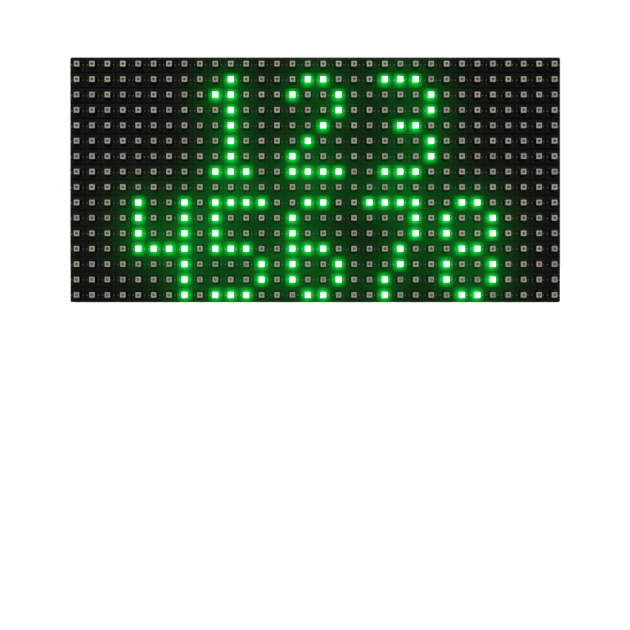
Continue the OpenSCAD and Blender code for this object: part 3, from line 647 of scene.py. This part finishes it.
# %% Finish the board
board = Finish("green_board", Roughness=0.3, Specular_IOR_Level=0.08)
x, y, z = board.place()
weave = board.math("SINE", x * 9, 0) * board.math("SINE", z * 9, 0) * 0.5 + 0.5
patches = board.speckle(9, 3)
green = board.blend(patches, (0.0, 0.30, 0.125), (0.0, 0.36, 0.15))
woven = board.blend(weave * 0.25, green, (0.0, 0.42, 0.185))
on_front = y < board_front / MM + 0.1
on_back = y > board_back / MM - 0.1
edge_colour = board.blend(on_front, (0.20, 0.19, 0.09), (0.006, 0.007, 0.006))
board.set(Base_Color=board.blend(on_back, edge_colour, woven))
board.relief(weave, 0.006)
dress(board, "circuit_board")
print("the board is green")

# %% [markdown]
# ## Copper tracks
# The tracks are copper strips a few hundredths of a millimetre thick, under the same green. They could be
# painted by a shader, but then every bend would be a formula. A curve with a flat rectangle as its profile
# gives each strip its real width and its mitred bends, and it is made a mesh and stood up behind the board.

# %% A strip along a line
def strips(runs, width, height, closed=False):
    """A mesh of flat strips, one along each run of points in millimetres, as seen from behind"""
    outline = bpy.data.curves.new("profile", "CURVE")
    profile = outline.splines.new("POLY")
    profile.points.add(3)
    corners = ((-width, -height), (width, -height), (width, height), (-width, height))
    for point, (px, py) in zip(profile.points, corners):
        point.co = (px / 2 * MM, py / 2 * MM, 0, 1)
    profile.use_cyclic_u = True
    profile_object = bpy.data.objects.new("profile", outline)
    curve = bpy.data.curves.new("strips", "CURVE")
    curve.dimensions = "3D"
    curve.bevel_mode = "OBJECT"
    curve.bevel_object = profile_object
    curve.use_fill_caps = True
    for run in runs:
        line = curve.splines.new("POLY")
        line.points.add(len(run) - 1)
        line.use_cyclic_u = closed
        for point, (px, py) in zip(line.points, run):
            point.co = (px * MM, py * MM, height / 2 * MM, 1)
    drawn = bpy.data.objects.new("strips", curve)
    for thing in (drawn, profile_object):
        scene.collection.objects.link(thing)
    data = bpy.data.meshes.new_from_object(drawn.evaluated_get(bpy.context.evaluated_depsgraph_get()))
    mesh = bmesh.new()
    mesh.from_mesh(data)
    for thing in (drawn, profile_object):
        bpy.data.objects.remove(thing)
    for unused in (curve, outline):
        bpy.data.curves.remove(unused)
    bpy.data.meshes.remove(data)
    bmesh.ops.remove_doubles(mesh, verts=mesh.verts, dist=0.001 * MM)
    bmesh.ops.recalc_face_normals(mesh, faces=mesh.faces)
    return mesh


bent_strip = strips([[(0, 0), (5, 0), (8, 3)]], 0.3, 0.04)
print("a strip with one bend has", len(bent_strip.faces), "faces")
bent_strip.free()

# %% [markdown]
# ### Keeping clear of the parts
# A track may not cross the feet of a part, so each upright line is cut where it would pass through the box of
# one. The boxes come from the CAD solids, turned round to be seen from behind.

# %% Cut upright lines at the parts
def box_behind(*names):
    """The box of some nodes as seen from behind, in millimetres: left, right, bottom, top"""
    lows, highs = zip(*(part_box(name) for name in names))
    left = -max(h.x for h in highs) / MM
    right = -min(low.x for low in lows) / MM
    bottom = (min(low.z for low in lows) - middle) / MM
    top = (max(h.z for h in highs) - middle) / MM
    return left, right, bottom, top


chips = [n for n in nodes if n.endswith("_legs")]
keep_clear = [box_behind(n) for n in chips + ["input_header_pins", "output_header_pins", "capacitor_1_tabs",
                                              "capacitor_2_tabs", "capacitor_1_base", "capacitor_2_base"]]
keep_clear.append(box_behind("power_header_housing", "power_header_contacts"))
CLEARANCE = 0.5
SHORTEST = 1.5


def upright(x, low, high, width):
    """An upright line cut into runs that keep clear of the parts"""
    cuts = [(bottom - CLEARANCE, top + CLEARANCE) for left, right, bottom, top in keep_clear
            if left - CLEARANCE < x + width / 2 and x - width / 2 < right + CLEARANCE]
    runs = []
    start = low
    for bottom, top in sorted(cuts):
        if bottom > start:
            runs.append([(x, start), (x, min(bottom, high))])
        start = max(start, top)
    if start < high:
        runs.append([(x, start), (x, high)])
    return [run for run in runs if run[1][1] - run[0][1] > SHORTEST]


print("tracks keep clear of", len(keep_clear), "parts")

# %% [markdown]
# ### Where the tracks run
# Every lamp needs its own connection, so thin tracks come down each column of lamps from via to via, with short
# jogs between. They have an outer, a central and an inner stretch on each side of the middle. One to three long
# tracks run beside each column, and broad strips carry the supply from top to bottom.

# %% Lay out the tracks
supply = {-124.9: 3.6, -106.0: 1.1, -64.5: 1.6, -17.2: 2.6, 23.2: 1.3, 49.3: 3.6, 57.4: 1.9, 110.6: 1.2}
supply_runs = [(run, width) for x, width in supply.items() for run in upright(x, -70, 70, width)]

JOG = 2.2
OUTER, CENTRAL, INNER = (66, 46), (34.6, 25.6), (14.8, 6.2)
column_runs = []
via_places = []
for column in range(1 - columns // 2, columns // 2):
    x = 10 * column + 0.5
    jog = JOG * (column % 3 - 1)
    for side in (-1, 1):
        lines = [[(x, side * OUTER[0]), (x, side * (OUTER[1] + abs(jog))), (x + jog, side * OUTER[1])],
                 [(x + jog, side * CENTRAL[0]), (x, side * (CENTRAL[0] - abs(jog))), (x, side * CENTRAL[1])],
                 [(x, side * INNER[0]), (x, side * INNER[1])]]
        for line in lines:
            inside = [b for b in keep_clear if any(b[0] - 1 < px < b[1] + 1 and b[2] - 1 < py < b[3] + 1
                                                   for px, py in line)]
            if not inside:
                column_runs.append(line)
                via_places += [line[0], line[-1]]
pair_runs = [run for column in range(-columns // 2, columns // 2) for shift in (3.4, 4.3, 7.4)[:1 + (column * 7) % 3]
             for run in upright(10 * column + shift, -68, 68, 0.22)]
print(len(supply_runs), "broad strips,", len(column_runs), "column tracks and", len(pair_runs), "long tracks")

# %% [markdown]
# ### From the chips' legs
# The chips drive the lamps, so a fan of thin tracks leaves their legs. The place of each leg is in the CAD mesh:
# the legs are separate lumps, and a walk along their edges finds them. What lies low on a leg is its foot.

# %% Find the legs' feet
def lumps(node):
    """The separate lumps of a node, each as its corner points seen from behind, in millimetres"""
    mesh = merged_copy(node)
    seen = set()
    found = []
    for start in mesh.verts:
        if start in seen:
            continue
        seen.add(start)
        wave = [start]
        lump = []
        while wave:
            vert = wave.pop()
            lump.append((-vert.co.x / MM, (vert.co.z - middle) / MM, (vert.co.y - board_back) / MM))
            for edge in vert.link_edges:
                other = edge.other_vert(vert)
                if other not in seen:
                    seen.add(other)
                    wave.append(other)
        found.append(np.array(lump))
    mesh.free()
    return found


def foot(lump):
    """The box of the part of a leg that lies on the board: left, right, bottom, top"""
    low = lump[lump[:, 2] < 0.3]
    return low[:, 0].min(), low[:, 0].max(), low[:, 1].min(), low[:, 1].max()


soldered = [n for n in nodes if n.endswith(("_legs", "_tabs", "_contacts")) or n.endswith("header_pins")]
feet = {node: [foot(lump) for lump in lumps(node)] for node in soldered}
print(sum(len(f) for f in feet.values()), "feet stand on the board")

# %% [markdown]
# ### Fans of tracks
# Each track leaves its foot straight, then spreads, then dives through a via to the front of the board. Where it
# ends steps away from its neighbours, so that the vias don't touch. The headers' tracks only turn down a little.

# %% Fan out from the feet
fan_runs = []
for node in [n for n in chips if not n.startswith("buffer")]:
    left, right, bottom, top = box_behind(node)
    for number, (x0, x1, y0, y1) in enumerate(sorted(feet[node])):
        x = (x0 + x1) / 2
        up = 1 if y0 > (bottom + top) / 2 else -1
        near = y1 if up > 0 else y0
        spread = (x - (left + right) / 2) * 0.5
        first = 1.2 + (number * 5 % 4) * 0.9
        last = first + abs(spread) + 0.8 + (number * 3 % 5) * 1.3
        fan_runs.append([(x, near), (x, near + up * first), (x + spread, near + up * (first + abs(spread))),
                         (x + spread, near + up * last)])
        via_places.append(fan_runs[-1][-1])
for node in ("input_header_pins", "output_header_pins"):
    for x0, x1, y0, y1 in feet[node]:
        left, right, _, _ = box_behind(node)
        away = 1 if x0 > (left + right) / 2 else -1
        start = x1 if away > 0 else x0
        y = (y0 + y1) / 2
        fan_runs.append([(start, y), (start + away * 0.8, y), (start + away * 1.5, y - 0.7)])
        via_places.append(fan_runs[-1][-1])
print(len(fan_runs), "tracks fan out")

# %% [markdown]
# ### Etched lines and copper
# Round the broad strips the copper is etched away, and the bare laminate under the green looks darker. So each of
# them gets a darker strip below it, a little wider, and the lighter copper strip lies on top of that. Both are
# flat enough to cast no shadow, and the height keeps them from fighting for the same pixels.

# %% Make the tracks
def joined(meshes):
    """Several meshes as one"""
    whole = bmesh.new()
    carrier = bpy.data.meshes.new("carrier")
    for mesh in meshes:
        mesh.to_mesh(carrier)
        whole.from_mesh(carrier)
        mesh.free()
    bpy.data.meshes.remove(carrier)
    return whole


def solder_mask(name, colour):
    """Green solder mask over copper or laminate, a little uneven where it pooled"""
    finish = Finish(name, Specular_IOR_Level=0.1)
    pooled = finish.speckle(1.2, 2)
    finish.set(Base_Color=finish.blend(pooled, tuple(0.9 * c for c in colour), tuple(1.1 * c for c in colour)),
               Roughness=0.26 + pooled * 0.12)
    finish.relief(pooled, 0.01)
    return finish


ETCHED_HEIGHT, COPPER_HEIGHT = 0.02, 0.035
THIN_TRACK, FAN_TRACK = 0.6, 0.4
etched = joined([strips([run], width + 0.8, ETCHED_HEIGHT) for run, width in supply_runs])
finished_piece("etched_lines", etched, solder_mask("etched_green", (0.0, 0.22, 0.09)),
               behind(board_back))
copper = joined([strips(fan_runs, FAN_TRACK, COPPER_HEIGHT), strips(column_runs + pair_runs, THIN_TRACK, COPPER_HEIGHT)]
                + [strips([run], width, COPPER_HEIGHT) for run, width in supply_runs])
finished_piece("copper_tracks", copper, solder_mask("copper_green", (0.01, 0.60, 0.30)),
               behind(board_back))

# %% [markdown]
# ### Vias and solder
# A via is a plated hole, filled with solder here, and seen as a pale dot. Under each foot lies a tinned
# pad with a small slope of solder. Pads differ in size, so each one is its own cube, with the upper face
# drawn in to make the slope.

# %% Make the vias and the solder
tin = Finish("bright_solder", Metallic=1.0, Base_Color=(0.72, 0.74, 0.72, 1))
tin.set(Roughness=0.22 + tin.speckle(0.3, 2) * 0.2)
tin.relief(tin.speckle(0.25, 2), 0.02)
via_metal = Finish("filled_via", Metallic=0.2, Base_Color=(0.66, 0.72, 0.56, 1))
via_metal.set(Roughness=0.3 + via_metal.speckle(0.4, 1) * 0.2)
finished_piece("filled_vias", stamped(dome(0.36, 0.07, 8), [Vector((px * MM, py * MM, 0.02 * MM))
                                                          for px, py in via_places]),
               via_metal, behind(board_back), smooth=60)

solder = bmesh.new()
for x0, x1, y0, y1 in (box for boxes in feet.values() for box in boxes):
    size = Matrix.Diagonal(((x1 - x0 + 0.3) * MM, (y1 - y0 + 0.5) * MM, 0.1 * MM, 1))
    place = Matrix.Translation(((x0 + x1) / 2 * MM, (y0 + y1) / 2 * MM, 0.05 * MM))
    made = bmesh.ops.create_cube(solder, size=1, matrix=place @ size)
    upper = [v for v in made["verts"] if v.co.z > 0.05 * MM]
    centre = place.to_translation()
    for vert in upper:
        vert.co.x = centre.x + (vert.co.x - centre.x) * 0.75
        vert.co.y = centre.y + (vert.co.y - centre.y) * 0.85
finished_piece("solder_pads", solder, tin, behind(board_back))

# %% [markdown]
# ### White print
# The board is printed with thin white outlines round its parts, with a dot at pin one, and with a sign that
# shows which way is up. The names beside the parts are left out. The outlines are the same kind
# of strips as the tracks, closed into loops.

# %% Print the outlines
def loop_round(box, gap):
    """The corners of a rectangle that stands a gap outside a box"""
    left, right, bottom, top = box
    low, high = bottom - gap, top + gap
    return [(left - gap, low), (right + gap, low), (right + gap, high), (left - gap, high)]


ink = Finish("white_print", Base_Color=(0.62, 0.70, 0.64, 1), Roughness=0.6)
ink.relief(ink.speckle(0.3, 1), 0.01)
outlined = [n for n in nodes if n.startswith(("driver", "switch", "selector", "buffer")) and n.endswith("_legs")]
loops = [loop_round(box_behind(n), 0.45) for n in outlined]
loops += [loop_round(box_behind(n), 0.6) for n in ("capacitor_1_base", "capacitor_2_base")]
arrow = [[(-96.0, 39.5), (-96.0, 47.6)], [(-98.2, 45.4), (-96.0, 47.8), (-93.8, 45.4)],
         [(-96.0, 39.5), (-87.9, 39.5)], [(-90.1, 41.7), (-87.7, 39.5), (-90.1, 37.3)]]
pin_marks = [Vector(((b[0] - 0.9) * MM, (b[2] + 0.5) * MM, 0.02 * MM)) for b in (box_behind(n) for n in outlined)]
print_mesh = joined([strips(loops, 0.14, 0.03, closed=True), strips(arrow, 0.22, 0.03),
                     stamped(dome(0.3, 0.02, 10), pin_marks)])
finished_piece("white_print", print_mesh, ink, behind(board_back))

# %% [markdown]
# ## Chips, headers, capacitors and the rest
# These solids are right as they come from CAD, so they keep their shape and only get finishes. Chip resin is
# matt and almost black, with a fine grain. The headers' plastic is smoother. Legs are tinned, and the
# headers' contacts have a thin gold plating.

# %% Finish the small parts
chip_resin = moulded_plastic("chip_resin", (0.016, 0.016, 0.017), 0.6, 0.12, 0.01, patch=3, specular=0.15)
dress(chip_resin, *[n for n in nodes if "chip_" in n + "_" and not n.endswith("_legs") and n != "chip_resistors"])
header_plastic = moulded_plastic("header_plastic", (0.012, 0.012, 0.013), 0.38, 0.3, 0.008, patch=6, specular=0.15)
dress(header_plastic, "input_header_shroud", "output_header_shroud", "power_header_housing")
base_plastic = moulded_plastic("capacitor_base", (0.010, 0.010, 0.011), 0.5, 0.2, 0.01, patch=4, specular=0.15)
dress(base_plastic, "capacitor_1_base", "capacitor_2_base")

legs = Finish("tinned_leg", Metallic=1.0, Base_Color=(0.80, 0.81, 0.80, 1))
legs.set(Roughness=0.2 + legs.speckle(0.4, 2) * 0.22)
legs.relief(legs.speckle(0.2, 2), 0.006)
dress(legs, *[n for n in nodes if n.endswith(("_legs", "_tabs"))])

gold = Finish("gold_plating", Metallic=1.0)
gold.set(Base_Color=gold.blend(gold.speckle(0.8, 2), (0.80, 0.62, 0.30), (0.90, 0.76, 0.46)),
         Roughness=0.16 + gold.speckle(0.5, 1) * 0.16)
dress(gold, "input_header_pins", "output_header_pins", "power_header_contacts")
print("the small parts are finished")

# %% [markdown]
# ### Capacitor cans
# An electrolytic can is drawn from bare aluminium. Fine rings run round its side from the drawing, its top is
# smooth, and a dark segment printed on the top shows the negative side. The rings come from the height
# of the point, and the segment from how far below the can's middle it is.

# %% Finish the cans
can = Finish("drawn_aluminium", Metallic=1.0)
x, y, z = can.place()
can_low, can_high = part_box("capacitor_1_can")
can_top = can_high.y / MM
can_middle = ((can_low.z + can_high.z) / 2 - middle) / MM
segment = (z < can_middle - 1.1) * (y > can_top - 0.25)
rings = can.math("SINE", y * 40, 0) * 0.5 + 0.5
smudge = can.speckle(1.5, 3)
can.set(Base_Color=can.blend(segment, can.blend(smudge, (0.66, 0.67, 0.68), (0.80, 0.81, 0.82)),
                             (0.03, 0.03, 0.035)),
        Metallic=1 - segment * 0.9, Roughness=0.36 + smudge * 0.14 + segment * 0.2)
can.relief(rings * (1 - (y > can_top - 0.3)), 0.004)
dress(can, "capacitor_1_can", "capacitor_2_can")
print("the cans are finished, with their tops at", round(can_top, 2), "mm")

# %% [markdown]
# ### Resistors, label and screws
# The resistors are white ceramic with tinned ends. The ends stand out from the ceramic in the CAD solid, and
# the distance from each resistor's middle tells the two apart. The label is plain white film, left blank. The
# screws are blackened steel, with bright scuffs scattered at random.

# %% Finish the resistors, the label and the screws
ceramic = Finish("white_ceramic")
x, y, z = ceramic.place()
resistor_boxes = [foot(lump) for lump in lumps("chip_resistors")]
metal_end = 0.0
for x0, x1, y0, y1 in resistor_boxes:
    away = abs(z - (y0 + y1) / 2)
    near_this = away < (y1 - y0) / 2 + 0.5
    metal_end = metal_end + near_this * (away > (y1 - y0) / 2 - 0.55)
ceramic.set(Base_Color=ceramic.blend(metal_end, (0.70, 0.70, 0.67), (0.74, 0.75, 0.74)), Metallic=metal_end,
            Roughness=0.42 - metal_end * 0.15)
ceramic.relief(ceramic.speckle(0.2, 2), 0.01)
dress(ceramic, "chip_resistors")

film = Finish("blank_film", Coat_Weight=0.2, Coat_Roughness=0.2)
rubbed = film.speckle(4, 3)
film.set(Base_Color=film.blend(rubbed, (0.74, 0.74, 0.72), (0.84, 0.84, 0.83)), Roughness=0.42 + rubbed * 0.15)
film.relief(film.speckle(2.5, 2), 0.02)
dress(film, "blank_label")

steel = Finish("blackened_steel", Metallic=0.7)
scuffed = steel.speckle(0.5, 3)
steel.set(Base_Color=steel.blend(steel.clamp((scuffed - 0.55) * 5), (0.02, 0.02, 0.022), (0.12, 0.12, 0.12)),
          Roughness=0.32 + scuffed * 0.2)
dress(steel, "frame_screws")
print(len(resistor_boxes), "resistors, a blank label and the screws are finished")

# %% [markdown]
# ## Brass inserts
# Four brass bushes with a thread hold the panel in its cabinet. Turned brass has fine rings on its face. The
# thread is a real ridge here: a small tooth is spun round the bore, and each step also moves it along
# the bore, so that it comes out as a helix. CAD leaves the thread out, because it would cost too many faces.

# %% Finish the inserts and cut their threads
brass = Finish("turned_brass", Metallic=1.0)
tarnish = brass.speckle(1.1, 3)
brass.set(Base_Color=brass.blend(tarnish, (0.60, 0.38, 0.13), (0.83, 0.60, 0.27)), Roughness=0.2 + tarnish * 0.2)
brass.relief(brass.speckle(0.25, 2, (1, 4, 1)), 0.008)
dress(brass, "threaded_inserts")

THREAD_PITCH = 0.7
THREAD_TURNS = 9
THREAD_STEPS = 20
THREAD_START = 0.7
TOOTH_WIDTH = 0.56
TOOTH_HEIGHT = 0.3
BORE = 1.65
INSERT_RADIUS = 2.85


def thread_ridge():
    """The helical ridge of an insert's thread, from z = 0 down into the bore"""
    mesh = bmesh.new()
    root = BORE + 0.03
    tooth = [mesh.verts.new((x * MM, 0, -depth * MM))
             for x, depth in ((root, 0), (root, TOOTH_WIDTH), (BORE - TOOTH_HEIGHT, TOOTH_WIDTH / 2))]
    face = mesh.faces.new(tooth)
    bmesh.ops.spin(mesh, geom=[face] + list(face.edges) + tooth, cent=(0, 0, 0), axis=(0, 0, 1),
                   dvec=(0, 0, -THREAD_PITCH / THREAD_STEPS * MM), angle=2 * math.pi * THREAD_TURNS,
                   steps=THREAD_STEPS * THREAD_TURNS)
    bmesh.ops.recalc_face_normals(mesh, faces=mesh.faces)
    return mesh


insert_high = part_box("threaded_inserts")[1]
insert_x = insert_high.x - INSERT_RADIUS * MM
insert_y = insert_high.z - middle - INSERT_RADIUS * MM
insert_places = [Vector((right * insert_x, up * insert_y, -THREAD_START * MM)) for right in (-1, 1)
                 for up in (-1, 1)]
finished_piece("insert_threads", stamped(thread_ridge(), insert_places), brass,
               behind(rear_face), smooth=50)

# %% [markdown]
# ## The floor
# The panel stands on a white floor. It must look white without more light on the panel, so for the camera it has
# a little light of its own, and still keeps the panel's shadow.

# %% Lay the floor
FLOOR_HALF = 6
FLOOR_LEVEL = 0.52
floor_mesh = bmesh.new()
bmesh.ops.create_grid(floor_mesh, x_segments=1, y_segments=1, size=FLOOR_HALF)
floor_data = bpy.data.meshes.new("white_floor")
floor_mesh.to_mesh(floor_data)
floor_mesh.free()
floor = bpy.data.objects.new("white_floor", floor_data)
scene.collection.objects.link(floor)
white = Finish("white_floor", Base_Color=(0.9, 0.9, 0.9, 1), Roughness=0.8, Specular_IOR_Level=0.1)
rays = white.add("LightPath").outputs
seen = white.clamp(Value(white, rays["Is Camera Ray"]) + Value(white, rays["Is Glossy Ray"]))
white.set(Emission_Color=white.blend(seen, (0.0, 0.0, 0.0), (FLOOR_LEVEL,) * 3), Emission_Strength=1.0)
floor_data.materials.append(white.material)
print("the floor is", 2 * FLOOR_HALF, "m wide")

# %% [markdown]
# ## Light and surroundings
# One large soft lamp stands above and in front and one above and behind, and the white room gives the rest. The
# camera sees the room at full white, while the panel gets a little over half of that.

# %% Light the room
world = bpy.data.worlds.new("white_room")
scene.world = world
world.use_nodes = True
ROOM_LEVEL = 0.55
background = world.node_tree.nodes["Background"]
path = world.node_tree.nodes.new("ShaderNodeLightPath")
level = world.node_tree.nodes.new("ShaderNodeMapRange")
world.node_tree.links.new(path.outputs["Is Camera Ray"], level.inputs["Value"])
level.inputs["To Min"].default_value = ROOM_LEVEL
level.inputs["To Max"].default_value = 1.0
world.node_tree.links.new(level.outputs[0], background.inputs["Strength"])
background.inputs["Color"].default_value = (1, 1, 1, 1)


def soft_lamp(name, spot, power):
    """A large soft lamp that shines on the panel from a spot"""
    lamp = bpy.data.lights.new(name, "AREA")
    lamp.shape = "RECTANGLE"
    lamp.size = 1.2
    lamp.size_y = 0.5
    lamp.energy = power
    stand = bpy.data.objects.new(name, lamp)
    stand.location = spot
    stand.rotation_euler = (Vector((0, 0, 0.08)) - Vector(spot)).to_track_quat("-Z", "Y").to_euler()
    scene.collection.objects.link(stand)


soft_lamp("front_lamp", (-0.25, -0.75, 1.15), 11)
soft_lamp("rear_lamp", (0.3, 0.7, 1.2), 11)
scene.view_settings.view_transform = "Standard"
print("the room is lit")
